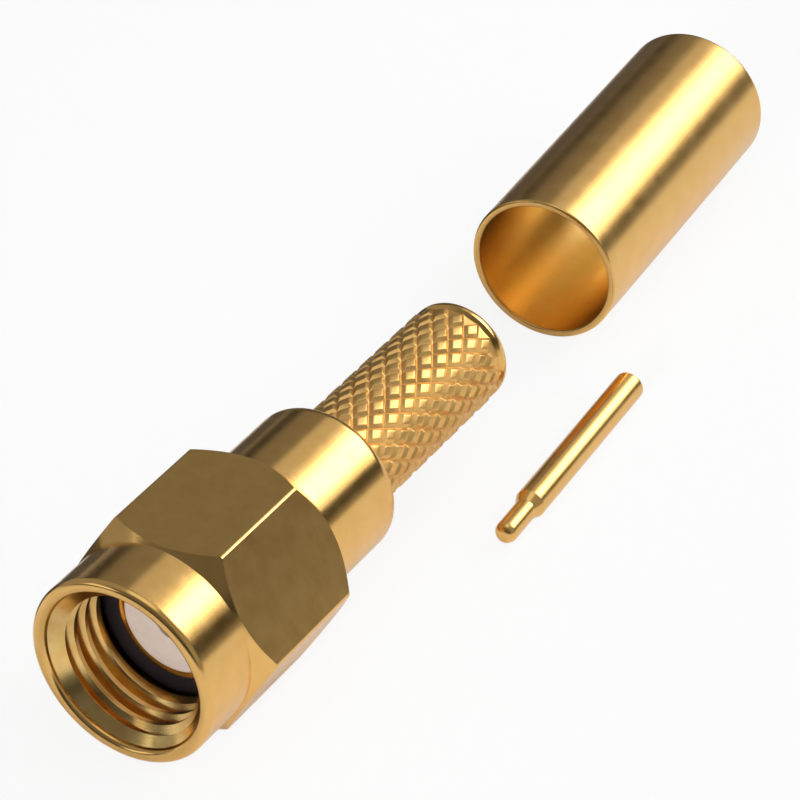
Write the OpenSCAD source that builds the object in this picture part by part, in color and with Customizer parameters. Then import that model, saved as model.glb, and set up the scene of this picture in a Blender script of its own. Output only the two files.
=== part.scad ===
// Coaxial plug for crimping on a cable: the plug head with its coupling nut,
// the crimp ferrule and the centre contact, laid out on a flat surface.
// Z is up, the plug's axis runs along Y and its mating end faces -Y.
// The origin is the middle of the hexagon's flat that the nut rests on.

/* [Coupling nut] */
// Width of the hexagon across its flats
hex_af = 8; // [7.8:0.1:9.4]
// Length of the hexagon
hex_len = 6.2; // [5.8:0.1:8]
// Outside diameter of the round collar at the mouth
collar_d = 7.8; // [7.5:0.1:8.2]
// Length of the round collar
collar_len = 2.7; // [2.3:0.1:4]
// Radius of the rounded lip at the mouth
lip_r = 0.28; // [0.15:0.01:0.32]
// Length of the bevel where the hexagon's corners meet the collar
front_bevel = 0.7; // [0.3:0.05:1]
// Length of the bevel on the hexagon's corners at the back
back_bevel = 0.7; // [0.3:0.05:0.9]
// Crest diameter of the internal thread, 36 turns to the inch
thread_minor_d = 5.66; // [5.59:0.01:5.74]
// Distance from the mouth to the reference plane
ref_depth = 3.3; // [3:0.1:4]
// Distance from the end of the thread to the reference plane
thread_short = 0.4; // [0.1:0.05:0.8]
// Diameter of the clear bore behind the thread
relief_d = 6.5; // [6.4:0.05:6.8]
// Length of the narrow bore at the back of the nut
web_len = 2.9; // [2.4:0.1:3.2]

/* [Plug body] */
// Outside diameter of the mating sleeve
sleeve_d = 4.59; // [4.5:0.01:4.65]
// Length of the mating sleeve in front of its shoulder
sleeve_len = 2.1; // [1.9:0.05:2.4]
// Diameter of the hub that carries the nut
hub_d = 5.5; // [5.4:0.05:5.7]
// Diameter of the round barrel behind the nut
barrel_d = 6.4; // [6:0.1:7.4]
// Length of the round barrel
barrel_len = 5; // [4:0.1:8]
// Radius of the rounded edge at the back of the barrel
barrel_round = 0.5; // [0.1:0.05:0.7]
// Diameter of the crimp stem over its knurl
stem_d = 4.48; // [4.3:0.02:5]
// Length of the crimp stem
stem_len = 10; // [7:0.1:14]
// Bore of the crimp stem, for the cable's dielectric
stem_bore_d = 3.05; // [2.6:0.05:3.2]

/* [Knurl] */
// Number of knurl points around the stem
knurl_count = 18; // [14:1:22]
// Distance between knurl points along the stem
knurl_pitch = 1.2; // [1:0.1:1.6]
// Depth of the knurl
knurl_depth = 0.14; // [0.12:0.01:0.26]
// Length of the plain rounded rim at the end of the stem
stem_rim = 0.4; // [0.3:0.05:0.8]

/* [Retaining ring] */
// Width of the ring along the axis
ring_w = 0.6; // [0.4:0.05:0.8]
// Thickness of the ring across the axis
ring_t = 0.5; // [0.46:0.01:0.52]
// How far the ring reaches into the nut's wall
ring_bite = 0.2; // [0.1:0.01:0.3]
// Distance from the nut's back face to the ring
ring_back = 1.2; // [0.9:0.05:1.4]
// Angle of the split in the ring, in degrees
ring_split = 24; // [15:1:40]

/* [Gasket] */
// Length of the gasket along the axis
gasket_len = 0.9; // [0.6:0.05:1.2]
// Distance from the reference plane to the gasket's front
gasket_set_back = 0.05; // [0:0.01:0.3]

/* [Insulator] */
// Diameter of the insulator
insulator_d = 4.1; // [3.9:0.02:4.2]
// Length of the insulator
insulator_len = 6; // [5:0.1:9]

/* [Centre contact] */
// Diameter of the contact's tip
tip_d = 0.92; // [0.9:0.01:0.94]
// Length of the tip up to its cone
tip_len = 2; // [1.6:0.1:2.6]
// Length of the cone between tip and barrel
tip_cone = 0.4; // [0.2:0.05:0.6]
// Diameter of the contact's barrel
contact_d = 1.27; // [1.2:0.01:1.34]
// Length of the whole contact
contact_len = 11.5; // [9:0.1:14]
// Diameter of the hole for the cable's inner conductor
wire_hole_d = 0.96; // [0.8:0.01:1]
// Depth of the hole for the cable's inner conductor
wire_hole_len = 3.5; // [2:0.1:5]

/* [Crimp ferrule] */
// Outside diameter of the ferrule
ferrule_d = 6.5; // [6:0.1:7.4]
// Wall thickness of the ferrule
ferrule_wall = 0.3; // [0.25:0.01:0.5]
// Length of the ferrule
ferrule_len = 15.3; // [9:0.1:18]

/* [Clearances] */
// Gap between the hub and the nut's narrow bore, on the radius
nut_clear = 0.05; // [0.02:0.01:0.08]
// Gap between the nut's back face and the barrel
nut_end_play = 0.1; // [0.05:0.01:0.2]
// Gap between the ring and the groove's side walls, each side
ring_side_clear = 0.1; // [0.05:0.01:0.15]
// Gap between the ring and the bottom of the nut's groove
ring_clear = 0.06; // [0.03:0.01:0.1]
// Gap left under the ring when it is squeezed in to fit the nut
ring_squeeze_clear = 0.02; // [0.01:0.01:0.04]
// Gap between the gasket and the nut, on the radius
gasket_clear = 0.1; // [0.05:0.01:0.2]
// Gap between the contact and the insulator, on the radius
contact_clear = 0.015; // [0.01:0.005:0.03]

/* [Layout] */
// Gap between the end of the stem and the ferrule
ferrule_gap = 7.6; // [3:0.1:15]
// How far the ferrule's front lies to the left of the plug's axis
ferrule_side = 0.6; // [0:0.1:3]
// How far the ferrule is turned, in degrees
ferrule_turn = 4; // [0:1:20]
// Distance from the plug's mouth to the contact's tip, along the axis
contact_back = 18; // [14:0.1:22]
// Gap between the side of the barrel and the contact's axis
contact_side = 2.25; // [1.5:0.05:6]
// How far the contact is turned, in degrees
contact_turn = 3.5; // [0:0.5:8]

/* [Hidden] */
$fn = 96;

// Small overlap where a cut runs past a face.
cut = 0.5;
// Fineness of the rounded edges in the turned outlines.
arc_steps = 8;
// Edge break on the small turned pieces.
edge_break = 0.08;
// Share of a knurl point's half width that is flat on top.
knurl_flat = 0.6;
// Plain necks in front of and behind the knurl.
knurl_neck = 0.08;
// Thickness of the knurl's skin inside its valleys.
knurl_skin = 0.25;
// How far the plain core lies below the knurl's valleys.
core_sink = 0.04;

axis_h = hex_af / 2;
corner_r = hex_af / 2 / cos(30);
collar_r = collar_d / 2;
nut_len = collar_len + hex_len;
mouth_y = -(collar_len + hex_len / 2);
minor_r = thread_minor_d / 2;
relief_r = relief_d / 2;
thread_end = ref_depth - thread_short;
nut_bore_r = hub_d / 2 + nut_clear;
relief_end = nut_len - web_len;
mouth_r = collar_r - 2 * lip_r;

ring_front = nut_len - ring_back - ring_w;
ring_r = nut_bore_r + ring_bite;
nut_groove_r = ring_r + ring_clear;
body_groove_r = nut_bore_r - ring_t - ring_squeeze_clear;
groove_front = ring_front - ring_side_clear;
groove_w = ring_w + 2 * ring_side_clear;

sleeve_r = sleeve_d / 2;
shoulder = ref_depth + sleeve_len;
barrel_front = nut_len + nut_end_play;
barrel_back = barrel_front + barrel_len;
plug_len = barrel_back + stem_len;
insulator_end = ref_depth + insulator_len;
stem_r = stem_d / 2;
valley_r = stem_r - knurl_depth;
core_r = valley_r - core_sink;
skin_r = core_r - knurl_skin + core_sink;
knurl_front = barrel_back + knurl_neck;
knurl_back = plug_len - stem_rim - knurl_neck;
knurl_rows = 2 * round((knurl_back - knurl_front) / knurl_pitch);
knurl_step = (knurl_back - knurl_front) / knurl_rows;
rim_r = stem_r - knurl_depth / 4;
rim_round = min(stem_rim * 0.8, rim_r - stem_bore_d / 2 - edge_break);

tip_r = tip_d / 2;
contact_r = contact_d / 2;
ferrule_r = ferrule_d / 2;
ferrule_y = mouth_y + plug_len + ferrule_gap;
contact_x = barrel_d / 2 + contact_side;
contact_y = mouth_y + contact_back;

// Points on an arc in a turned outline, from angle a to angle b.
function arc(x, y, r, a, b) =
    [for (i = [0 : arc_steps]) let (t = a + (b - a) * i / arc_steps) [x + r * cos(t), y + r * sin(t)]];

// A piece turned about an axis that lies along Y, with its front at z = 0 of the outline.
module lay(x, y, height, turn = 0) {
    translate([x, y, height]) rotate([0, 0, turn]) rotate([-90, 0, 0]) children();
}

// A plain tube or disc around the turning axis.
module tube(inner, outer, front, back) {
    rotate_extrude() translate([inner, front]) square([outer - inner, back - front]);
}

module nut_blank() {
    rotate_extrude()
        polygon(concat([[0, 0]], arc(collar_r - lip_r, lip_r, lip_r, -90, 0),
                       [[collar_r, collar_len + front_bevel / 2], [0, collar_len + front_bevel / 2]]));
    intersection() {
        translate([0, 0, collar_len]) cylinder(h = hex_len, r = corner_r, $fn = 6);
        rotate_extrude()
            polygon([[0, collar_len], [collar_r, collar_len], [corner_r, collar_len + front_bevel],
                     [corner_r, nut_len - back_bevel], [hex_af / 2, nut_len], [0, nut_len]]);
    }
}

module nut_bore() {
    lead = mouth_r - minor_r;
    rotate_extrude()
        polygon(concat([[0, -cut], [mouth_r + lip_r, -cut], [mouth_r + lip_r, 0]],
                       arc(mouth_r + lip_r, lip_r, lip_r, 270, 180),
                       [[minor_r, lip_r + lead], [minor_r, thread_end],
                        [relief_r, thread_end + (relief_r - minor_r)], [relief_r, relief_end],
                        [nut_bore_r, relief_end], [nut_bore_r, nut_len + cut], [0, nut_len + cut]]));
    tube(0, nut_groove_r, groove_front, groove_front + groove_w);
}

module coupling_nut() {
    color([0.78, 0.60, 0.28]) lay(0, mouth_y, axis_h) difference() {
        nut_blank();
        nut_bore();
    }
}

// Radius of the knurl's surface at row i and column j of its grid: points and valleys alternate.
function is_point(i, j) = i > 0 && i < knurl_rows && (i + j) % 2 == 1;
function knurl_xyz(r, i, j) =
    [r * cos(j * 180 / knurl_count), r * sin(j * 180 / knurl_count), knurl_front + i * knurl_step];

// The knurled skin: flat-topped diamond points on a thin sleeve that sits in the stem's wall.
module knurl() {
    cols = 2 * knurl_count;
    // Four corners for each grid place: a valley's corners coincide in one point that is kept once.
    valleys = [for (i = [0 : knurl_rows], j = [0 : cols - 1]) knurl_xyz(valley_r, i, j)];
    tops = [for (i = [0 : knurl_rows], j = [0 : cols - 1], k = [0 : 3])
        knurl_xyz(stem_r, i + knurl_flat * [0, 1, 0, -1][k], j + knurl_flat * [1, 0, -1, 0][k])];
    inner = [for (i = [0, knurl_rows], j = [0 : cols - 1]) knurl_xyz(skin_r, i, j)];
    first_top = len(valleys);
    first_inner = first_top + len(tops);
    function v(i, j) = i * cols + (j + cols) % cols;
    function t(i, j, k) = first_top + 4 * (i * cols + j) + k % 4;
    function n(e, j) = first_inner + e * cols + j % cols;
    // The valley beside a point, in direction k.
    function side(i, j, k) = v(i + [0, 1, 0, -1][k % 4], j + [1, 0, -1, 0][k % 4]);
    points = concat(
        [for (i = [1 : knurl_rows - 1], j = [0 : cols - 1], k = [0 : 3]) if (is_point(i, j))
            [side(i, j, k), t(i, j, k), side(i, j, k + 1)]],
        [for (i = [1 : knurl_rows - 1], j = [0 : cols - 1], k = [0 : 3]) if (is_point(i, j))
            [t(i, j, k), t(i, j, k + 1), side(i, j, k + 1)]],
        [for (i = [1 : knurl_rows - 1], j = [0 : cols - 1]) if (is_point(i, j))
            [t(i, j, 3), t(i, j, 2), t(i, j, 1), t(i, j, 0)]]);
    // The ends of the knurl run out in flat triangles between the valleys.
    ends = concat(
        [for (j = [0 : cols - 1]) if (j % 2 == 1) each
            [[v(0, j), v(1, j), v(0, j + 1)], [v(0, j), v(0, j - 1), v(1, j)]]],
        [for (j = [0 : cols - 1]) if ((knurl_rows + j) % 2 == 1) each
            [[v(knurl_rows, j), v(knurl_rows, j + 1), v(knurl_rows - 1, j)],
             [v(knurl_rows, j), v(knurl_rows - 1, j), v(knurl_rows, j - 1)]]]);
    inside = [for (j = [0 : cols - 1]) each
        [[v(0, j), v(0, j + 1), n(0, j + 1), n(0, j)],
         [n(0, j), n(0, j + 1), n(1, j + 1), n(1, j)],
         [n(1, j), n(1, j + 1), v(knurl_rows, j + 1), v(knurl_rows, j)]]];
    polyhedron(points = concat(valleys, tops, inner), faces = concat(points, ends, inside));
}

module plug_body() {
    color([0.85, 0.66, 0.32]) lay(0, mouth_y, axis_h) {
        difference() {
            rotate_extrude()
                polygon(concat(
                    [[insulator_d / 2, ref_depth], [sleeve_r, ref_depth], [sleeve_r, shoulder],
                     [hub_d / 2, shoulder], [hub_d / 2, groove_front], [body_groove_r, groove_front],
                     [body_groove_r, groove_front + groove_w], [hub_d / 2, groove_front + groove_w],
                     [hub_d / 2, barrel_front], [barrel_d / 2, barrel_front]],
                    arc(barrel_d / 2 - barrel_round, barrel_back - barrel_round, barrel_round, 0, 90),
                    [[core_r, barrel_back], [core_r, plug_len - stem_rim],
                     [rim_r, plug_len - stem_rim]],
                    arc(rim_r - rim_round, plug_len - rim_round, rim_round, 0, 90),
                    [[stem_bore_d / 2, plug_len], [stem_bore_d / 2, insulator_end],
                     [insulator_d / 2, insulator_end]]));
        }
        knurl();
    }
}

module retaining_ring() {
    color([0.80, 0.62, 0.30]) lay(0, mouth_y, axis_h)
        rotate([0, 0, 90 + ring_split / 2]) rotate_extrude(angle = 360 - ring_split)
            translate([ring_r - ring_t, ring_front]) square([ring_t, ring_w]);
}

module gasket() {
    color([0.12, 0.09, 0.09]) lay(0, mouth_y, axis_h)
        tube(sleeve_r, relief_r - gasket_clear,
             ref_depth + gasket_set_back, ref_depth + gasket_set_back + gasket_len);
}

module insulator() {
    color([0.86, 0.76, 0.68]) lay(0, mouth_y, axis_h)
        tube(contact_r + contact_clear, insulator_d / 2, ref_depth, insulator_end);
}

module centre_contact() {
    nose = tip_r * 0.8;
    color([0.86, 0.68, 0.34]) lay(contact_x, contact_y, contact_r, contact_turn)
        rotate_extrude()
            polygon(concat([[0, 0]], arc(tip_r - nose, nose, nose, -90, 0),
                           [[tip_r, tip_len], [contact_r, tip_len + tip_cone],
                            [contact_r, contact_len - edge_break],
                            [contact_r - edge_break, contact_len],
                            [wire_hole_d / 2, contact_len],
                            [wire_hole_d / 2, contact_len - wire_hole_len],
                            [0, contact_len - wire_hole_len - wire_hole_d / 4]]));
}

module crimp_ferrule() {
    inner = ferrule_r - ferrule_wall;
    color([0.84, 0.66, 0.32]) lay(-ferrule_side, ferrule_y, ferrule_r, ferrule_turn)
        rotate_extrude()
            polygon([[inner, 0], [ferrule_r - edge_break, 0], [ferrule_r, edge_break],
                     [ferrule_r, ferrule_len - edge_break], [ferrule_r - edge_break, ferrule_len],
                     [inner, ferrule_len]]);
}

coupling_nut();
plug_body();
retaining_ring();
gasket();
insulator();
centre_contact();
crimp_ferrule();
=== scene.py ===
import math

import bpy
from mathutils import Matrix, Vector


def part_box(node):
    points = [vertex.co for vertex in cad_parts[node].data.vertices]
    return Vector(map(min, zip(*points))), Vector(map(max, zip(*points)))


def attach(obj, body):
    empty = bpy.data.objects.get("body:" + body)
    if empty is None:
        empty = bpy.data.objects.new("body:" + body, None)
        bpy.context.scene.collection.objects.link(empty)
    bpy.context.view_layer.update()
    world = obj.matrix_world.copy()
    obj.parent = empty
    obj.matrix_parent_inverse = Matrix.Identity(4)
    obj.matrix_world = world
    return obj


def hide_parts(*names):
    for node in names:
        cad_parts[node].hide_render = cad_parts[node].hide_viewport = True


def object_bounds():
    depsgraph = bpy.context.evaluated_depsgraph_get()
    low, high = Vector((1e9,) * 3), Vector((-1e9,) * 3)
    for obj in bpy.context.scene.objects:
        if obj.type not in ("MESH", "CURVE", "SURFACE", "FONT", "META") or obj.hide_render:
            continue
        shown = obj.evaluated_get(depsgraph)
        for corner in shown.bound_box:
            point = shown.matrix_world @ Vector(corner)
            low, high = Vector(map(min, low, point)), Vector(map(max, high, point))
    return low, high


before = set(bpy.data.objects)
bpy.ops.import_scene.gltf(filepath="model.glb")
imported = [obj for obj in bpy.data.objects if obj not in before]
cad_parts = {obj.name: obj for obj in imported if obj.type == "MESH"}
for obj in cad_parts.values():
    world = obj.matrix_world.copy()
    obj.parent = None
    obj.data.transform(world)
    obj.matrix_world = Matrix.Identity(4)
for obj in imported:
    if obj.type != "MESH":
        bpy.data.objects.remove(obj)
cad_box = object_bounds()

# Sizes are in millimetres and are turned to metres where a mesh is made.
MM = 0.001
SEGMENTS = 128

# ---------------------------------------------------------------- places from the frame
nut_lo, nut_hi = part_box("coupling_nut")
body_lo, body_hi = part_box("plug_body")
contact_lo, contact_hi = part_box("centre_contact")
ferrule_lo, ferrule_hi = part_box("crimp_ferrule")
insulator_lo, insulator_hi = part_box("insulator")
gasket_lo, gasket_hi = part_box("gasket")

# A side of an outline longer than this gets a brace this far from each of its ends.
LONG_SIDE = 0.8
BRACE = 0.04

# Points closer than this are one, and tools reach this far past the ends of what they cut.
WELD = 0.0005
OVERRUN = 1.0

# Height of the plug's axis over the surface, and where the nut's mouth lies.
AXIS_HEIGHT = (nut_lo.z + nut_hi.z) / 2 / MM
MOUTH_Y = nut_lo.y / MM

# Coupling nut.
HEX_AF = (nut_hi.z - nut_lo.z) / MM
NUT_LEN = (nut_hi.y - nut_lo.y) / MM
CORNER_R = HEX_AF / 2 / math.cos(math.radians(30))
CORNER_EASE = 0.09
COLLAR_R = 3.9
COLLAR_LEN = 2.7
LIP_R = 0.28
MOUTH_R = COLLAR_R - 2 * LIP_R
FRONT_BEVEL = 0.7
BACK_BEVEL = 0.7
THREAD_PITCH = 25.4 / 36
THREAD_MINOR_R = 2.83
THREAD_MAJOR_R = 3.175
THREAD_END = 2.9
THREAD_FLANK = math.radians(30)
# The tap starts in front of the mouth and stops inside the relief; its groove is cut from this deep
# inside the bore.
TAP_START = -1.5
TAP_TURNS = 6.05
TAP_INSET = 0.12
RELIEF_R = 3.25
WEB_LEN = 2.9
NUT_BORE_R = 2.8
RING_W = 0.6
RING_BACK = 1.2
RING_SIDE_CLEAR = 0.1
NUT_GROOVE_R = 3.06
NUT_CHAMFER = 0.12

# Plug body, in distances from the nut's mouth.
REF_DEPTH = (body_lo.y - nut_lo.y) / MM
PLUG_LEN = (body_hi.y - nut_lo.y) / MM
SLEEVE_R = 2.295
SHOULDER = REF_DEPTH + 2.1
HUB_R = 2.75
BARREL_R = (body_hi.z - body_lo.z) / 2 / MM
BARREL_FRONT = NUT_LEN + 0.1
BARREL_BACK = BARREL_FRONT + 5.0
BARREL_ROUND = 0.5
BODY_EDGE = 0.05
BODY_GROOVE_R = 2.28
STEM_R = 2.24
STEM_BORE_R = 1.525
STEM_CHAMFER = 0.06
STEM_RIM = 0.4
KNURL_COUNT = 18
KNURL_PITCH = 1.2
KNURL_DEPTH = 0.14
KNURL_NECK = 0.08
KNURL_FLAT = 0.6
KNURL_EASE = 0.02
VALLEY_R = STEM_R - KNURL_DEPTH
CORE_R = VALLEY_R - 0.04
SKIN_R = CORE_R - 0.21
RIM_R = STEM_R - KNURL_DEPTH / 4
RIM_ROUND = 0.32

# Insulator and gasket.
INSULATOR_R = (insulator_hi.z - insulator_lo.z) / 2 / MM
INSULATOR_END = (insulator_hi.y - nut_lo.y) / MM
INSULATOR_BORE_R = 0.65
INSULATOR_EDGE = 0.04
GASKET_FRONT = (gasket_lo.y - nut_lo.y) / MM
GASKET_BACK = (gasket_hi.y - nut_lo.y) / MM
GASKET_R = (gasket_hi.z - gasket_lo.z) / 2 / MM
GASKET_EDGE = 0.12

# Centre contact.
CONTACT_R = (contact_hi.z - contact_lo.z) / 2 / MM
CONTACT_TURN = math.radians(3.5)
CONTACT_LEN = 11.5
CONTACT_X = 5.45
CONTACT_Y = MOUTH_Y + 18.0
TIP_R = 0.46
TIP_LEN = 2.0
TIP_CONE = 0.4
NOSE_R = TIP_R * 0.8
CONTACT_EDGE = 0.05
WIRE_HOLE_R = 0.48
WIRE_HOLE_LEN = 3.5

# Crimp ferrule.
FERRULE_R = (ferrule_hi.z - ferrule_lo.z) / 2 / MM
FERRULE_WALL = 0.3
FERRULE_EDGE = 0.11
FERRULE_LEN = 15.3
FERRULE_TURN = math.radians(4)
FERRULE_X = -0.6
FERRULE_Y = MOUTH_Y + PLUG_LEN + 7.6

# A bore's lining, whose paler tint is painted light, takes the faces up to this far outside its radius, and
# stops short of the back edge.
LINING_MARGIN = 0.02
LINING_STOP = 0.2

# The dark card beside the part: how far off, how tall, how thick, and how far past the part.
FLAG_GAP = 7.5
FLAG_TALL = 7.0
FLAG_THICK = 0.5
FLAG_REACH = 30.0

# The stage, in metres: the width of the floor and how far off the lamps stand.
FLOOR_SIZE = 12.0
LAMP_DISTANCE = 0.5

# Greys of the studio's walls by height, those across the part, and how dim the mouth's side is.
WALL_GREYS = [(0.0, 0.22), (0.07, 0.2), (0.13, 0.03), (0.30, 0.03), (0.36, 0.18), (1.0, 0.22)]
SIDE_WALL = (0.3, 0.3, 0.3, 1)
MOUTH_SIDE_SHARE = 0.65

# Camera: where it stands round and above the part, how far off, its lens and what it looks at.
CAMERA_AZIMUTH = math.radians(31.455)
CAMERA_ELEVATION = math.radians(35.5)
CAMERA_DISTANCE = 165.17
CAMERA_LENS = 181.7
CAMERA_SENSOR = 36.0
CAMERA_AIM = (-3.17, 18.67, 0.0)


# ---------------------------------------------------------------- modelling helpers
def take(obj):
    """Makes obj the only selected and active object."""
    bpy.ops.object.select_all(action="DESELECT")
    obj.select_set(True)
    bpy.context.view_layer.objects.active = obj


def arc(x, z, radius, start, end, steps=8):
    """Outline points on an arc, with angles in degrees."""
    turns = [math.radians(start + (end - start) * i / steps) for i in range(steps + 1)]
    return [(x + radius * math.cos(t), z + radius * math.sin(t)) for t in turns]


def soften(outline, radius, steps=3, closed=True):
    """An outline with its corners rounded to one small radius where the sides are long enough."""
    made = []
    count = len(outline)
    for i, corner in enumerate(outline):
        here = Vector(corner)
        before = Vector(outline[i - 1]) - here
        after = Vector(outline[(i + 1) % count]) - here
        ends = not closed and i in (0, count - 1)
        if ends or before.length < 2.5 * radius or after.length < 2.5 * radius:
            made.append(corner)
            continue
        opening = before.angle(after)
        if opening > math.radians(165):
            made.append(corner)
            continue
        reach = min(radius / math.tan(opening / 2), 0.4 * before.length, 0.4 * after.length)
        a = here + before.normalized() * reach
        b = here + after.normalized() * reach
        for k in range(steps + 1):
            t = k / steps
            point = a * (1 - t) ** 2 + here * 2 * t * (1 - t) + b * t ** 2
            made.append((point.x, point.y))
    return made


def braced(outline):
    """An outline with a point close to each end of every long side, so that the side shades straight."""
    made = [outline[0]]
    for a, b in zip(outline, outline[1:]):
        side = Vector(b) - Vector(a)
        if side.length > LONG_SIDE:
            step = side.normalized() * BRACE
            made += [(a[0] + step.x, a[1] + step.y), (b[0] - step.x, b[1] - step.y)]
        made.append(b)
    return made


def draw_outline(name, outline):
    """A chain of edges in the XZ plane, drawn point by point."""
    bpy.ops.object.select_all(action="DESELECT")
    bpy.ops.mesh.primitive_plane_add(size=MM, location=(0, 0, 0))
    obj = bpy.context.object
    obj.name = name
    bpy.ops.object.mode_set(mode="EDIT")
    bpy.ops.mesh.select_mode(type="VERT")
    bpy.ops.mesh.select_all(action="SELECT")
    bpy.ops.mesh.merge(type="CENTER")
    last = (0.0, 0.0)
    for i, point in enumerate(outline):
        step = ((point[0] - last[0]) * MM, 0, (point[1] - last[1]) * MM)
        if i == 0:
            bpy.ops.transform.translate(value=step)
        else:
            bpy.ops.mesh.extrude_region_move(TRANSFORM_OT_translate={"value": step})
        last = point
    bpy.ops.object.mode_set(mode="OBJECT")
    return obj


def turned(name, outline, closed=True, segments=SEGMENTS):
    """A turned piece: an outline of (radius, distance) points spun round the Z axis."""
    if closed:
        outline = outline + [outline[0]]
    obj = draw_outline(name, braced(outline))
    bpy.ops.object.mode_set(mode="EDIT")
    bpy.ops.mesh.select_all(action="SELECT")
    bpy.ops.mesh.spin(steps=segments, angle=2 * math.pi, center=(0, 0, 0), axis=(0, 0, 1))
    bpy.ops.mesh.select_all(action="SELECT")
    bpy.ops.mesh.remove_doubles(threshold=WELD * MM)
    bpy.ops.mesh.normals_make_consistent(inside=False)
    bpy.ops.object.mode_set(mode="OBJECT")
    return obj


def apply_modifier(obj, kind, **settings):
    """Adds a modifier with these settings and applies it."""
    take(obj)
    modifier = obj.modifiers.new(kind.lower(), kind)
    for key, value in settings.items():
        setattr(modifier, key, value)
    bpy.ops.object.modifier_apply(modifier=modifier.name)


def combine(obj, other, operation):
    """Cuts, joins or intersects obj with another mesh, which is used up."""
    apply_modifier(obj, "BOOLEAN", object=other, operation=operation, solver="EXACT")
    bpy.data.objects.remove(other, do_unlink=True)


def select_faces(obj, wanted):
    """Selects the faces for which wanted(face) holds, ready for edit mode."""
    for face in obj.data.polygons:
        face.select = wanted(face)


def select_vertices(obj, wanted):
    """Selects the vertices for which wanted(vertex) holds, ready for edit mode."""
    bpy.ops.object.mode_set(mode="EDIT")
    bpy.ops.mesh.select_mode(type="VERT")
    bpy.ops.mesh.select_all(action="DESELECT")
    bpy.ops.object.mode_set(mode="OBJECT")
    for vertex in obj.data.vertices:
        vertex.select = wanted(vertex)


def select_edges(obj, wanted):
    """Selects the edges for which wanted(first end, second end) holds, ready for edit mode."""
    bpy.ops.object.mode_set(mode="EDIT")
    bpy.ops.mesh.select_mode(type="EDGE")
    bpy.ops.mesh.select_all(action="DESELECT")
    bpy.ops.object.mode_set(mode="OBJECT")
    ends = obj.data.vertices
    for edge in obj.data.edges:
        edge.select = wanted(ends[edge.vertices[0]].co / MM, ends[edge.vertices[1]].co / MM)


def finish_surface(obj, angle=32):
    """Smooth shading up to an angle, with flat faces kept flat."""
    take(obj)
    bpy.ops.object.shade_smooth_by_angle(angle=math.radians(angle))
    apply_modifier(obj, "WEIGHTED_NORMAL", keep_sharp=True)


def lay_down(obj, x, y, height, turn=0.0):
    """Lays a turned piece along Y with its front at that place, and puts the place into its mesh."""
    take(obj)
    obj.rotation_euler = (-math.pi / 2, 0, turn)
    obj.location = (x * MM, y * MM, height * MM)
    bpy.ops.object.transform_apply(location=True, rotation=True, scale=True)


# ---------------------------------------------------------------- materials
class Nodes:
    """A node tree that is built with few words."""

    def __init__(self, tree):
        self.tree = tree
        tree.nodes.clear()

    def add(self, kind, inputs=None, **settings):
        node = self.tree.nodes.new(kind)
        for key, value in settings.items():
            setattr(node, key, value)
        for key, value in (inputs or {}).items():
            if isinstance(value, bpy.types.NodeSocket):
                self.tree.links.new(value, node.inputs[key])
            else:
                node.inputs[key].default_value = value
        return node


def new_material(name):
    material = bpy.data.materials.new(name)
    material.use_nodes = True
    return material, Nodes(material.node_tree)


def piece_coordinates(n, turn=0.0):
    """Object coordinates in millimetres, with the piece's axis turned back onto Y."""
    place = n.add("ShaderNodeTexCoord").outputs["Object"]
    return n.add(
        "ShaderNodeMapping",
        {"Vector": place, "Rotation": (0, 0, -turn), "Scale": (1 / MM,) * 3},
    ).outputs["Vector"]


def ramp(n, value, low, high, out_low, out_high):
    return n.add(
        "ShaderNodeMapRange",
        {"Value": value, "From Min": low, "From Max": high, "To Min": out_low, "To Max": out_high},
    ).outputs["Result"]


# Gold plating at its deepest and lightest, outside and in the bores. The bore tints are paler, which is
# painted light that brightens the insides of the nut and ferrule.
DEEP_GOLD = (0.88, 0.52, 0.16, 1)
LIGHT_GOLD = (0.95, 0.585, 0.20, 1)
DEEP_BORE_GOLD_PAINTED_BRIGHT = (0.96, 0.64, 0.24, 1)
LIGHT_BORE_GOLD_PAINTED_BRIGHT = (0.99, 0.72, 0.29, 1)

# Marks run round a turned piece and along a drawn tube.
TURNED_GRAIN = (1.0, 26.0, 1.0)
DRAWN_GRAIN = (5.0, 0.25, 5.0)


def gold(name, turn=0.0, roughness=0.17, marks=0.5, grain=TURNED_GRAIN, deep=DEEP_GOLD,
         light=LIGHT_GOLD):
    """Gold plating over brass: fine tool marks along the grain, and a mottled tint and gloss."""
    material, n = new_material(name)
    place = piece_coordinates(n, turn)
    mottle = n.add(
        "ShaderNodeTexNoise", {"Vector": place, "Scale": 1.1, "Detail": 4.0, "Roughness": 0.6}
    ).outputs["Fac"]
    tint = n.add(
        "ShaderNodeMix",
        {"Factor": ramp(n, mottle, 0.3, 0.7, 0.0, 1.0), "A": deep, "B": light},
        data_type="RGBA",
    )
    squeezed = n.add(
        "ShaderNodeMapping", {"Vector": place, "Scale": grain}
    ).outputs["Vector"]
    tool = n.add(
        "ShaderNodeTexNoise", {"Vector": squeezed, "Scale": 0.8, "Detail": 3.0, "Roughness": 0.7}
    ).outputs["Fac"]
    gloss = ramp(n, mottle, 0.25, 0.75, roughness * 0.9, roughness * 1.12)
    fine = n.add(
        "ShaderNodeBump", {"Strength": marks, "Distance": 0.004 * MM, "Height": tool}
    ).outputs["Normal"]
    shader = n.add(
        "ShaderNodeBsdfPrincipled",
        {"Base Color": tint.outputs["Result"], "Metallic": 1.0, "Roughness": gloss, "Normal": fine},
    )
    n.add("ShaderNodeOutputMaterial", {"Surface": shader.outputs["BSDF"]})
    return material


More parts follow.
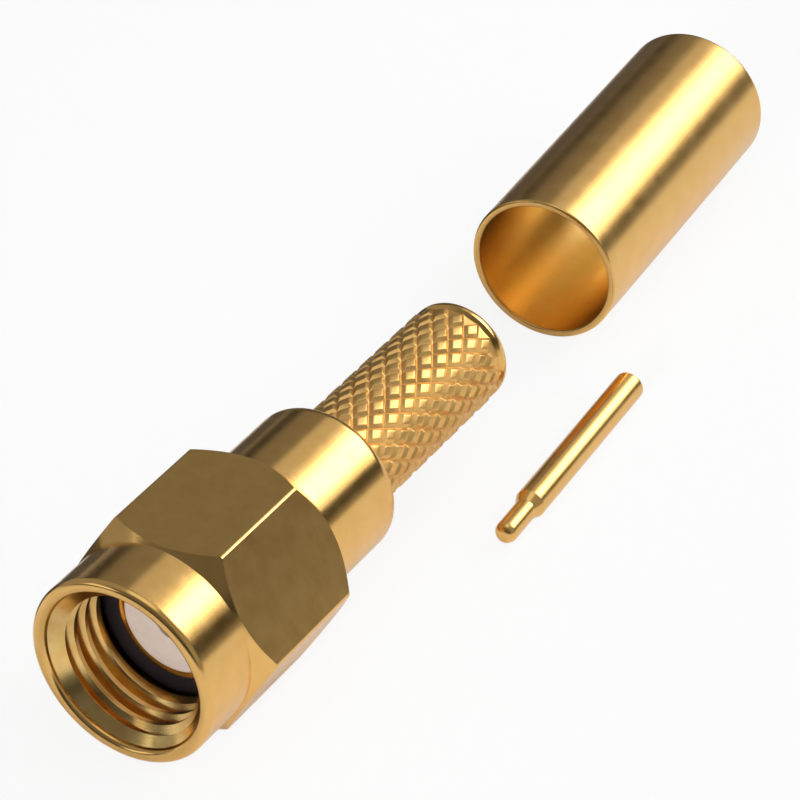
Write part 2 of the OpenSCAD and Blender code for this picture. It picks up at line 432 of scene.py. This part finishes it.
def rubber():
    material, n = new_material("black_rubber")
    place = piece_coordinates(n)
    grain = n.add(
        "ShaderNodeTexNoise", {"Vector": place, "Scale": 9.0, "Detail": 4.0}
    ).outputs["Fac"]
    tint = n.add(
        "ShaderNodeMix",
        {"Factor": grain, "A": (0.010, 0.006, 0.007, 1), "B": (0.022, 0.016, 0.017, 1)},
        data_type="RGBA",
    )
    bump = n.add(
        "ShaderNodeBump", {"Strength": 0.4, "Distance": 0.01 * MM, "Height": grain}
    ).outputs["Normal"]
    shader = n.add(
        "ShaderNodeBsdfPrincipled",
        {"Base Color": tint.outputs["Result"], "Roughness": 0.6, "Normal": bump},
    )
    n.add("ShaderNodeOutputMaterial", {"Surface": shader.outputs["BSDF"]})
    return material


def fluoropolymer():
    material, n = new_material("insulator_white")
    place = piece_coordinates(n)
    cloud = n.add(
        "ShaderNodeTexNoise", {"Vector": place, "Scale": 2.4, "Detail": 3.0}
    ).outputs["Fac"]
    tint = n.add(
        "ShaderNodeMix",
        {"Factor": cloud, "A": (0.74, 0.60, 0.50, 1), "B": (0.85, 0.74, 0.65, 1)},
        data_type="RGBA",
    )
    bump = n.add(
        "ShaderNodeBump", {"Strength": 0.3, "Distance": 0.006 * MM, "Height": cloud}
    ).outputs["Normal"]
    shader = n.add(
        "ShaderNodeBsdfPrincipled",
        {"Base Color": tint.outputs["Result"], "Roughness": 0.42, "Normal": bump},
    )
    n.add("ShaderNodeOutputMaterial", {"Surface": shader.outputs["BSDF"]})
    return material


def dress(obj, material):
    obj.data.materials.clear()
    obj.data.materials.append(material)


# ---------------------------------------------------------------- coupling nut
def thread_cutter():
    """The helical groove that a tap leaves, as a closed solid from before the mouth to the relief."""
    half = THREAD_PITCH * 3 / 8
    root = THREAD_PITCH / 16
    inside = THREAD_MINOR_R - TAP_INSET
    spread = half + TAP_INSET * math.tan(THREAD_FLANK)
    profile = [(inside, TAP_START - spread), (THREAD_MAJOR_R, TAP_START - root),
               (THREAD_MAJOR_R, TAP_START + root), (inside, TAP_START + spread)]
    cutter = draw_outline("thread_cutter", profile + [profile[0]])
    take(cutter)
    bpy.ops.object.mode_set(mode="EDIT")
    bpy.ops.mesh.select_all(action="SELECT")
    bpy.ops.mesh.remove_doubles(threshold=WELD * MM)
    bpy.ops.object.mode_set(mode="OBJECT")
    steps = round(TAP_TURNS * SEGMENTS)
    apply_modifier(cutter, "SCREW", axis="Z", angle=2 * math.pi * TAP_TURNS,
                   screw_offset=THREAD_PITCH * TAP_TURNS * MM, iterations=1, steps=steps,
                   render_steps=steps, use_merge_vertices=False)
    bpy.ops.object.mode_set(mode="EDIT")
    bpy.ops.mesh.select_all(action="SELECT")
    bpy.ops.mesh.fill_holes(sides=4)
    bpy.ops.mesh.select_all(action="SELECT")
    bpy.ops.mesh.normals_make_consistent(inside=False)
    bpy.ops.object.mode_set(mode="OBJECT")
    return cutter


def hexagon():
    """A hexagonal bar with its long corners eased, longer than the nut at both ends."""
    bpy.ops.object.select_all(action="DESELECT")
    bpy.ops.mesh.primitive_cylinder_add(vertices=6, radius=CORNER_R * MM, depth=(NUT_LEN + 2 * OVERRUN) * MM,
                                        location=(0, 0, NUT_LEN / 2 * MM),
                                        rotation=(0, 0, math.radians(30)))
    obj = bpy.context.object
    obj.name = "hexagon"
    bpy.ops.object.transform_apply(location=True, rotation=True, scale=True)
    select_edges(obj, lambda a, b: abs(a.z - b.z) > 1)
    bpy.ops.object.mode_set(mode="EDIT")
    bpy.ops.mesh.bevel(offset=CORNER_EASE * MM, segments=4, affect="EDGES")
    bpy.ops.object.mode_set(mode="OBJECT")
    return obj


def nut_bore():
    """Everything that is bored out of the nut, apart from its thread."""
    lead = MOUTH_R - THREAD_MINOR_R
    ring_groove = NUT_LEN - RING_BACK - RING_W - RING_SIDE_CLEAR
    groove_end = NUT_LEN - RING_BACK + RING_SIDE_CLEAR
    outline = (
        [(0, -OVERRUN), (MOUTH_R + LIP_R, -OVERRUN), (MOUTH_R + LIP_R, 0)]
        + arc(MOUTH_R + LIP_R, LIP_R, LIP_R, 270, 180)[1:]
        + [(THREAD_MINOR_R, LIP_R + lead), (THREAD_MINOR_R, THREAD_END),
           (RELIEF_R, THREAD_END + RELIEF_R - THREAD_MINOR_R), (RELIEF_R, NUT_LEN - WEB_LEN),
           (NUT_BORE_R, NUT_LEN - WEB_LEN), (NUT_BORE_R, ring_groove), (NUT_GROOVE_R, ring_groove),
           (NUT_GROOVE_R, groove_end), (NUT_BORE_R, groove_end),
           (NUT_BORE_R, NUT_LEN - NUT_CHAMFER), (NUT_BORE_R + NUT_CHAMFER, NUT_LEN),
           (NUT_BORE_R + NUT_CHAMFER, NUT_LEN + OVERRUN), (0, NUT_LEN + OVERRUN)]
    )
    return turned("nut_bore", outline, closed=False)


def line_bore(obj, painted_bright_lining, radius, depth):
    """Gives the faces of a bore round the Z axis, up to that radius and depth, the lining, whose paler tint
    is painted light that brightens the bore.
    """
    obj.data.materials.append(painted_bright_lining)
    for face in obj.data.polygons:
        middle = face.center / MM
        if math.hypot(middle.x, middle.y) < radius and middle.z < depth:
            face.material_index = len(obj.data.materials) - 1


def coupling_nut(outside, painted_bright_lining):
    """Turned to a collar and two bevels, given its hexagon, then bored and tapped."""
    nut = turned("coupling_nut_shell", (
        [(0, 0)] + arc(COLLAR_R - LIP_R, LIP_R, LIP_R, -90, 0)
        + [(COLLAR_R, COLLAR_LEN), (CORNER_R, COLLAR_LEN + FRONT_BEVEL),
           (CORNER_R, NUT_LEN - BACK_BEVEL), (HEX_AF / 2, NUT_LEN), (0, NUT_LEN)]), closed=False)
    combine(nut, hexagon(), "INTERSECT")
    combine(nut, nut_bore(), "DIFFERENCE")
    combine(nut, thread_cutter(), "DIFFERENCE")
    dress(nut, outside)
    # The bore gets the paler gold, painted light that brightens the inside of the nut.
    line_bore(nut, painted_bright_lining, MOUTH_R + LINING_MARGIN, NUT_LEN - LINING_STOP)
    lay_down(nut, 0, MOUTH_Y, AXIS_HEIGHT)
    finish_surface(nut)
    return nut


# ---------------------------------------------------------------- plug body
def knurl_band():
    """The knurl: a grid of diamonds between crossing grooves, each raised to a flat-topped point."""
    front = BARREL_BACK + KNURL_NECK
    back = PLUG_LEN - STEM_RIM - KNURL_NECK
    rows = round((back - front) / KNURL_PITCH)
    pitch = (back - front) / rows
    bpy.ops.object.select_all(action="DESELECT")
    bpy.ops.mesh.primitive_circle_add(vertices=KNURL_COUNT, radius=VALLEY_R * MM, fill_type="NOTHING",
                                      location=(0, 0, front * MM), rotation=(0, 0, math.pi / 2))
    obj = bpy.context.object
    obj.name = "knurl_band"
    bpy.ops.object.transform_apply(location=True, rotation=True, scale=True)
    bpy.ops.object.mode_set(mode="EDIT")
    bpy.ops.mesh.select_all(action="SELECT")
    for _ in range(rows):
        bpy.ops.mesh.extrude_region_move(TRANSFORM_OT_translate={"value": (0, 0, pitch * MM)})
    bpy.ops.mesh.select_all(action="SELECT")
    bpy.ops.mesh.normals_make_consistent(inside=False)
    bpy.ops.mesh.poke()
    bpy.ops.object.mode_set(mode="OBJECT")

    def on_ring(z):
        return abs((z - front) / pitch - round((z - front) / pitch)) < 0.1

    def at_end(z):
        return abs(z - front) < 0.01 or abs(z - back) < 0.01

    # The middle of each cell moves out to the round of the valleys.
    select_vertices(obj, lambda v: not on_ring(v.co.z / MM))
    grow = 1 / math.cos(math.pi / KNURL_COUNT)
    bpy.ops.object.mode_set(mode="EDIT")
    bpy.ops.transform.resize(value=(grow, grow, 1), center_override=(0, 0, 0))
    bpy.ops.object.mode_set(mode="OBJECT")
    # The first grid goes, and the diagonals stay as the crossing grooves.
    select_edges(obj, lambda a, b: on_ring(a.z) and on_ring(b.z) and not (at_end(a.z) and at_end(b.z)))
    bpy.ops.object.mode_set(mode="EDIT")
    bpy.ops.mesh.dissolve_edges(use_verts=False)
    bpy.ops.mesh.select_mode(type="FACE")
    bpy.ops.mesh.select_all(action="DESELECT")
    bpy.ops.object.mode_set(mode="OBJECT")
    half_wide = math.pi * VALLEY_R / KNURL_COUNT
    inner = half_wide * (pitch / 2) / math.hypot(half_wide, pitch / 2)
    select_faces(obj, lambda f: len(f.vertices) == 4)
    bpy.ops.object.mode_set(mode="EDIT")
    bpy.ops.mesh.inset(thickness=inner * (1 - KNURL_FLAT) * MM, depth=0, use_individual=True)
    raised = STEM_R / (VALLEY_R * math.cos(math.pi / KNURL_COUNT / 2))
    bpy.ops.transform.resize(value=(raised, raised, 1), center_override=(0, 0, 0))
    bpy.ops.mesh.subdivide(number_cuts=3)
    bpy.ops.object.vertex_group_assign_new()
    bpy.ops.object.mode_set(mode="OBJECT")
    # The tops are what is left of the round stem, so they follow its curve.
    apply_modifier(obj, "CAST", cast_type="CYLINDER", vertex_group=obj.vertex_groups[0].name,
                   factor=1.0, size=STEM_R * MM, use_radius_as_size=False, use_z=False)
    apply_modifier(obj, "BEVEL", width=KNURL_EASE * MM, segments=2, limit_method="ANGLE",
                   angle_limit=math.radians(24))
    # Both ends are closed inwards and joined by an inner wall that lies inside the stem.
    bpy.ops.object.mode_set(mode="EDIT")
    bpy.ops.mesh.select_mode(type="EDGE")
    bpy.ops.mesh.select_all(action="DESELECT")
    bpy.ops.mesh.select_non_manifold()
    shrink = SKIN_R / VALLEY_R
    bpy.ops.mesh.extrude_edges_move()
    bpy.ops.transform.resize(value=(shrink, shrink, 1), center_override=(0, 0, 0))
    bpy.ops.mesh.bridge_edge_loops()
    bpy.ops.mesh.select_all(action="SELECT")
    bpy.ops.mesh.normals_make_consistent(inside=False)
    bpy.ops.object.mode_set(mode="OBJECT")
    return obj


def plug_body(turned_plate, knurled_plate):
    groove = NUT_LEN - RING_BACK - RING_W - RING_SIDE_CLEAR
    groove_end = NUT_LEN - RING_BACK + RING_SIDE_CLEAR
    front = soften([
        (INSULATOR_R, REF_DEPTH), (SLEEVE_R, REF_DEPTH), (SLEEVE_R, SHOULDER), (HUB_R, SHOULDER),
        (HUB_R, groove), (BODY_GROOVE_R, groove), (BODY_GROOVE_R, groove_end), (HUB_R, groove_end),
        (HUB_R, BARREL_FRONT), (BARREL_R, BARREL_FRONT), (BARREL_R, BARREL_BACK - BARREL_ROUND)],
        BODY_EDGE, closed=False)
    outline = (
        front[:-1]
        + arc(BARREL_R - BARREL_ROUND, BARREL_BACK - BARREL_ROUND, BARREL_ROUND, 0, 90)
        + [(CORE_R, BARREL_BACK), (CORE_R, PLUG_LEN - STEM_RIM - 2 * KNURL_NECK),
           (RIM_R, PLUG_LEN - STEM_RIM)]
        + arc(RIM_R - RIM_ROUND, PLUG_LEN - RIM_ROUND, RIM_ROUND, 0, 90)
        + [(STEM_BORE_R + STEM_CHAMFER, PLUG_LEN), (STEM_BORE_R, PLUG_LEN - STEM_CHAMFER),
           (STEM_BORE_R, INSULATOR_END), (INSULATOR_R, INSULATOR_END)]
    )
    body = turned("plug_body_shell", outline)
    band = knurl_band()
    for obj in (body, band):
        dress(obj, turned_plate)
        obj.data.materials.append(knurled_plate)
    for face in band.data.polygons:
        face.material_index = 1
    combine(body, band, "UNION")
    lay_down(body, 0, MOUTH_Y, AXIS_HEIGHT)
    finish_surface(body)
    return body


# ---------------------------------------------------------------- small pieces
def gasket():
    ring = turned("gasket_ring", soften([
        (SLEEVE_R, GASKET_FRONT), (GASKET_R, GASKET_FRONT), (GASKET_R, GASKET_BACK),
        (SLEEVE_R, GASKET_BACK)], GASKET_EDGE, steps=5))
    lay_down(ring, 0, MOUTH_Y, AXIS_HEIGHT)
    finish_surface(ring)
    return ring


def insulator():
    bush = turned("insulator_bush", soften([
        (INSULATOR_BORE_R, REF_DEPTH), (INSULATOR_R, REF_DEPTH), (INSULATOR_R, INSULATOR_END),
        (INSULATOR_BORE_R, INSULATOR_END)], INSULATOR_EDGE))
    lay_down(bush, 0, MOUTH_Y, AXIS_HEIGHT)
    finish_surface(bush)
    return bush


def centre_contact():
    outline = (
        [(0, 0)] + arc(TIP_R - NOSE_R, NOSE_R, NOSE_R, -90, 0)
        + soften([(TIP_R, NOSE_R + 0.1), (TIP_R, TIP_LEN), (CONTACT_R, TIP_LEN + TIP_CONE),
                  (CONTACT_R, CONTACT_LEN), (WIRE_HOLE_R, CONTACT_LEN),
                  (WIRE_HOLE_R, CONTACT_LEN - WIRE_HOLE_LEN)], CONTACT_EDGE, closed=False)
        + [(0, CONTACT_LEN - WIRE_HOLE_LEN - WIRE_HOLE_R / 2)]
    )
    pin = turned("centre_contact_pin", outline, closed=False, segments=64)
    lay_down(pin, CONTACT_X, CONTACT_Y, CONTACT_R, CONTACT_TURN)
    finish_surface(pin)
    return pin


def crimp_ferrule(outside, painted_bright_lining):
    inner = FERRULE_R - FERRULE_WALL
    tube = turned("crimp_ferrule_tube", soften([
        (inner, 0), (FERRULE_R, 0), (FERRULE_R, FERRULE_LEN), (inner, FERRULE_LEN)],
        FERRULE_EDGE, steps=5))
    dress(tube, outside)
    # The bore gets the paler gold, painted light that brightens the inside of the ferrule.
    line_bore(tube, painted_bright_lining, inner + LINING_MARGIN, FERRULE_LEN)
    lay_down(tube, FERRULE_X, FERRULE_Y, FERRULE_R, FERRULE_TURN)
    finish_surface(tube)
    return tube


# ---------------------------------------------------------------- stage, light and camera
def light_path(n, camera, glossy):
    """The share of white that the camera, clear things and gloss see in place of the lit surface."""
    path = n.add("ShaderNodeLightPath")
    seen = n.add(
        "ShaderNodeMath",
        {0: path.outputs["Is Camera Ray"], 1: path.outputs["Is Transmission Ray"]},
        operation="MAXIMUM",
    )
    seen = n.add("ShaderNodeMath", {0: seen.outputs[0], 1: camera}, operation="MULTIPLY")
    gloss = n.add("ShaderNodeMath", {0: path.outputs["Is Glossy Ray"], 1: glossy}, operation="MULTIPLY")
    return n.add("ShaderNodeMath", {0: seen.outputs[0], 1: gloss.outputs[0]}, operation="ADD").outputs[0]


def studio_world():
    """A white surround for the camera, while all else sees the dim walls of a studio.

    The walls are dimmer on the side that the mouth faces, and plain grey across the part's length."""
    world = bpy.data.worlds.new("studio")
    bpy.context.scene.world = world
    world.use_nodes = True
    n = Nodes(world.node_tree)
    way = n.add("ShaderNodeTexCoord").outputs["Generated"]
    sides = n.add("ShaderNodeSeparateXYZ", {"Vector": way})
    walls = n.add("ShaderNodeValToRGB", {"Fac": sides.outputs["Z"]})
    for height, _ in WALL_GREYS[1:-1]:
        walls.color_ramp.elements.new(height)
    for stop, (height, grey) in zip(walls.color_ramp.elements, WALL_GREYS):
        stop.position = height
        stop.color = (grey, grey, grey, 1)
    dimmed = n.add("ShaderNodeVectorMath", {0: walls.outputs["Color"],
                                            "Scale": ramp(n, sides.outputs["Y"], -0.3, 0.3,
                                                          MOUTH_SIDE_SHARE, 1.0)},
                   operation="SCALE")
    across = n.add("ShaderNodeMath", {0: sides.outputs["Y"]}, operation="ABSOLUTE").outputs[0]
    round_part = n.add("ShaderNodeMix", {"Factor": ramp(n, across, 0.42, 0.56, 1.0, 0.0),
                                         "A": dimmed.outputs["Vector"], "B": SIDE_WALL},
                       data_type="RGBA")
    white = n.add("ShaderNodeMix", {"Factor": light_path(n, 1.0, 0.02),
                                    "A": round_part.outputs["Result"],
                                    "B": (1, 1, 1, 1)}, data_type="RGBA")
    shade = n.add("ShaderNodeBackground", {"Color": white.outputs["Result"], "Strength": 1.0})
    n.add("ShaderNodeOutputWorld", {"Surface": shade.outputs["Background"]})


def floor():
    bpy.ops.object.select_all(action="DESELECT")
    bpy.ops.mesh.primitive_plane_add(size=FLOOR_SIZE, location=(0, 0, 0))
    plane = bpy.context.object
    plane.name = "floor"
    material, n = new_material("floor_white")
    place = piece_coordinates(n)
    grain = n.add("ShaderNodeTexNoise", {"Vector": place, "Scale": 0.02, "Detail": 2.0}).outputs["Fac"]
    tint = n.add(
        "ShaderNodeMix", {"Factor": grain, "A": (0.9, 0.9, 0.9, 1), "B": (0.92, 0.92, 0.92, 1)},
        data_type="RGBA",
    )
    lit = n.add("ShaderNodeBsdfDiffuse", {"Color": tint.outputs["Result"]})
    glow = n.add("ShaderNodeEmission", {"Color": (1, 1, 1, 1), "Strength": 1.0})
    shader = n.add("ShaderNodeMixShader", {0: light_path(n, 0.88, 0.1), 1: lit.outputs["BSDF"],
                                           2: glow.outputs["Emission"]})
    n.add("ShaderNodeOutputMaterial", {"Surface": shader.outputs["Shader"]})
    dress(plane, material)


def flag():
    """A dark card on its edge to the left of the part, which only the plating reflects."""
    lo, hi = cad_box
    bpy.ops.object.select_all(action="DESELECT")
    bpy.ops.mesh.primitive_cube_add(size=1.0, location=(0, 0, 0))
    card = bpy.context.object
    card.name = "flag_card"
    bpy.ops.transform.resize(value=(FLAG_THICK * MM, hi.y - lo.y + FLAG_REACH * MM, FLAG_TALL * MM))
    bpy.ops.transform.translate(value=(
        lo.x - FLAG_GAP * MM, (lo.y + hi.y + FLAG_REACH * MM) / 2, FLAG_TALL / 2 * MM))
    bpy.ops.object.transform_apply(location=True, rotation=True, scale=True)
    material, n = new_material("flag_cloth")
    weave = n.add("ShaderNodeTexNoise", {"Vector": piece_coordinates(n), "Scale": 1.0}).outputs["Fac"]
    tint = n.add("ShaderNodeMix", {"Factor": weave, "A": (0.10, 0.10, 0.10, 1), "B": (0.14, 0.14, 0.14, 1)},
                 data_type="RGBA")
    shade = n.add("ShaderNodeBsdfDiffuse", {"Color": tint.outputs["Result"]})
    n.add("ShaderNodeOutputMaterial", {"Surface": shade.outputs["BSDF"]})
    dress(card, material)
    card.visible_camera = False
    card.visible_diffuse = False
    card.visible_transmission = False
    card.visible_shadow = False


def softbox(name, azimuth, elevation, wide, tall, radiance, in_gloss=True):
    """A rectangular lamp half a metre away that faces the part, given by the brightness of its face.

    The azimuth is turned from +Y towards +X, and wide and tall are in degrees as the part sees them."""
    width = 2 * LAMP_DISTANCE * math.tan(math.radians(wide / 2))
    height = 2 * LAMP_DISTANCE * math.tan(math.radians(tall / 2))
    light = bpy.data.lights.new(name, "AREA")
    light.shape = "RECTANGLE"
    light.size = width
    light.size_y = height
    light.energy = radiance * 4 * width * height
    lamp = bpy.data.objects.new(name, light)
    bpy.context.scene.collection.objects.link(lamp)
    turn = math.radians(azimuth)
    rise = math.radians(elevation)
    way = Vector((math.sin(turn) * math.cos(rise), math.cos(turn) * math.cos(rise), math.sin(rise)))
    middle = (cad_box[0] + cad_box[1]) / 2
    lamp.location = middle + way * LAMP_DISTANCE
    lamp.rotation_euler = way.to_track_quat("Z", "Y").to_euler()
    lamp.visible_glossy = in_gloss
    return lamp


def camera():
    aim = Vector(CAMERA_AIM) * MM
    back = Vector((math.sin(CAMERA_AZIMUTH) * math.cos(CAMERA_ELEVATION),
                   -math.cos(CAMERA_AZIMUTH) * math.cos(CAMERA_ELEVATION),
                   math.sin(CAMERA_ELEVATION)))
    data = bpy.data.cameras.new("camera")
    data.lens = CAMERA_LENS
    data.sensor_width = CAMERA_SENSOR
    data.clip_start = 1 * MM
    data.clip_end = 10.0
    cam = bpy.data.objects.new("camera", data)
    bpy.context.scene.collection.objects.link(cam)
    cam.location = aim + back * CAMERA_DISTANCE * MM
    cam.rotation_mode = "QUATERNION"
    cam.rotation_quaternion = back.to_track_quat("Z", "Y")
    bpy.context.scene.camera = cam


# ---------------------------------------------------------------- the part
camera()
studio_world()
floor()
flag()
softbox("key_core", 27, 36, 28, 22, 1.45)
softbox("key_softbox", 25, 33, 40, 30, 1.4)
softbox("key_spill", 12, 42, 54, 36, 0.28)
softbox("key_fill", 25, 42, 36, 36, 0.4, in_gloss=False)
softbox("side_fill", 80, 30, 36, 30, 1.35, in_gloss=False)
softbox("top_card", 0, 89, 34, 44, 0.45)
softbox("left_card", 222, 19, 26, 16, 0.75)
softbox("front_fill", 170, 45, 50, 40, 0.4, in_gloss=False)
# A narrow beam from close by lights the inside of the nut's mouth.
snoot = softbox("mouth_fill", 172, 16, 6, 6, 0.42, in_gloss=False)
snoot.data.spread = math.radians(16)
snoot.location = (0.02, -0.15, 0.05)

plated = gold("gold_turned")
plated_knurl = gold("gold_knurl", roughness=0.36, marks=0.2)
# The nut's bore gold has a paler tint, painted light that brightens the inside of the nut.
plated_bore_painted_bright = gold("gold_bore_painted_bright", roughness=0.2, light=LIGHT_BORE_GOLD_PAINTED_BRIGHT)

nut = coupling_nut(plated, plated_bore_painted_bright)
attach(nut, "nut")
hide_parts("coupling_nut")

body = plug_body(plated, plated_knurl)
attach(body, "plug")
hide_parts("plug_body")

seal = gasket()
dress(seal, rubber())
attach(seal, "plug")
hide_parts("gasket")

bush = insulator()
dress(bush, fluoropolymer())
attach(bush, "plug")
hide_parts("insulator")

pin = centre_contact()
dress(pin, gold("gold_contact", turn=CONTACT_TURN, roughness=0.24))
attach(pin, "plug")
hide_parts("centre_contact")

# The ferrule's bore gold has paler tints, painted light that brightens the inside of the ferrule.
tube = crimp_ferrule(
    gold("gold_ferrule", turn=FERRULE_TURN, roughness=0.23, marks=0.4, grain=DRAWN_GRAIN),
    gold("gold_ferrule_bore_painted_bright", turn=FERRULE_TURN, roughness=0.3, marks=1.0, grain=DRAWN_GRAIN,
         deep=DEEP_BORE_GOLD_PAINTED_BRIGHT, light=LIGHT_BORE_GOLD_PAINTED_BRIGHT))
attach(tube, "plug")
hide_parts("crimp_ferrule")

dress(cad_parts["retaining_ring"], plated)

bpy.context.scene.view_settings.view_transform = "Standard"
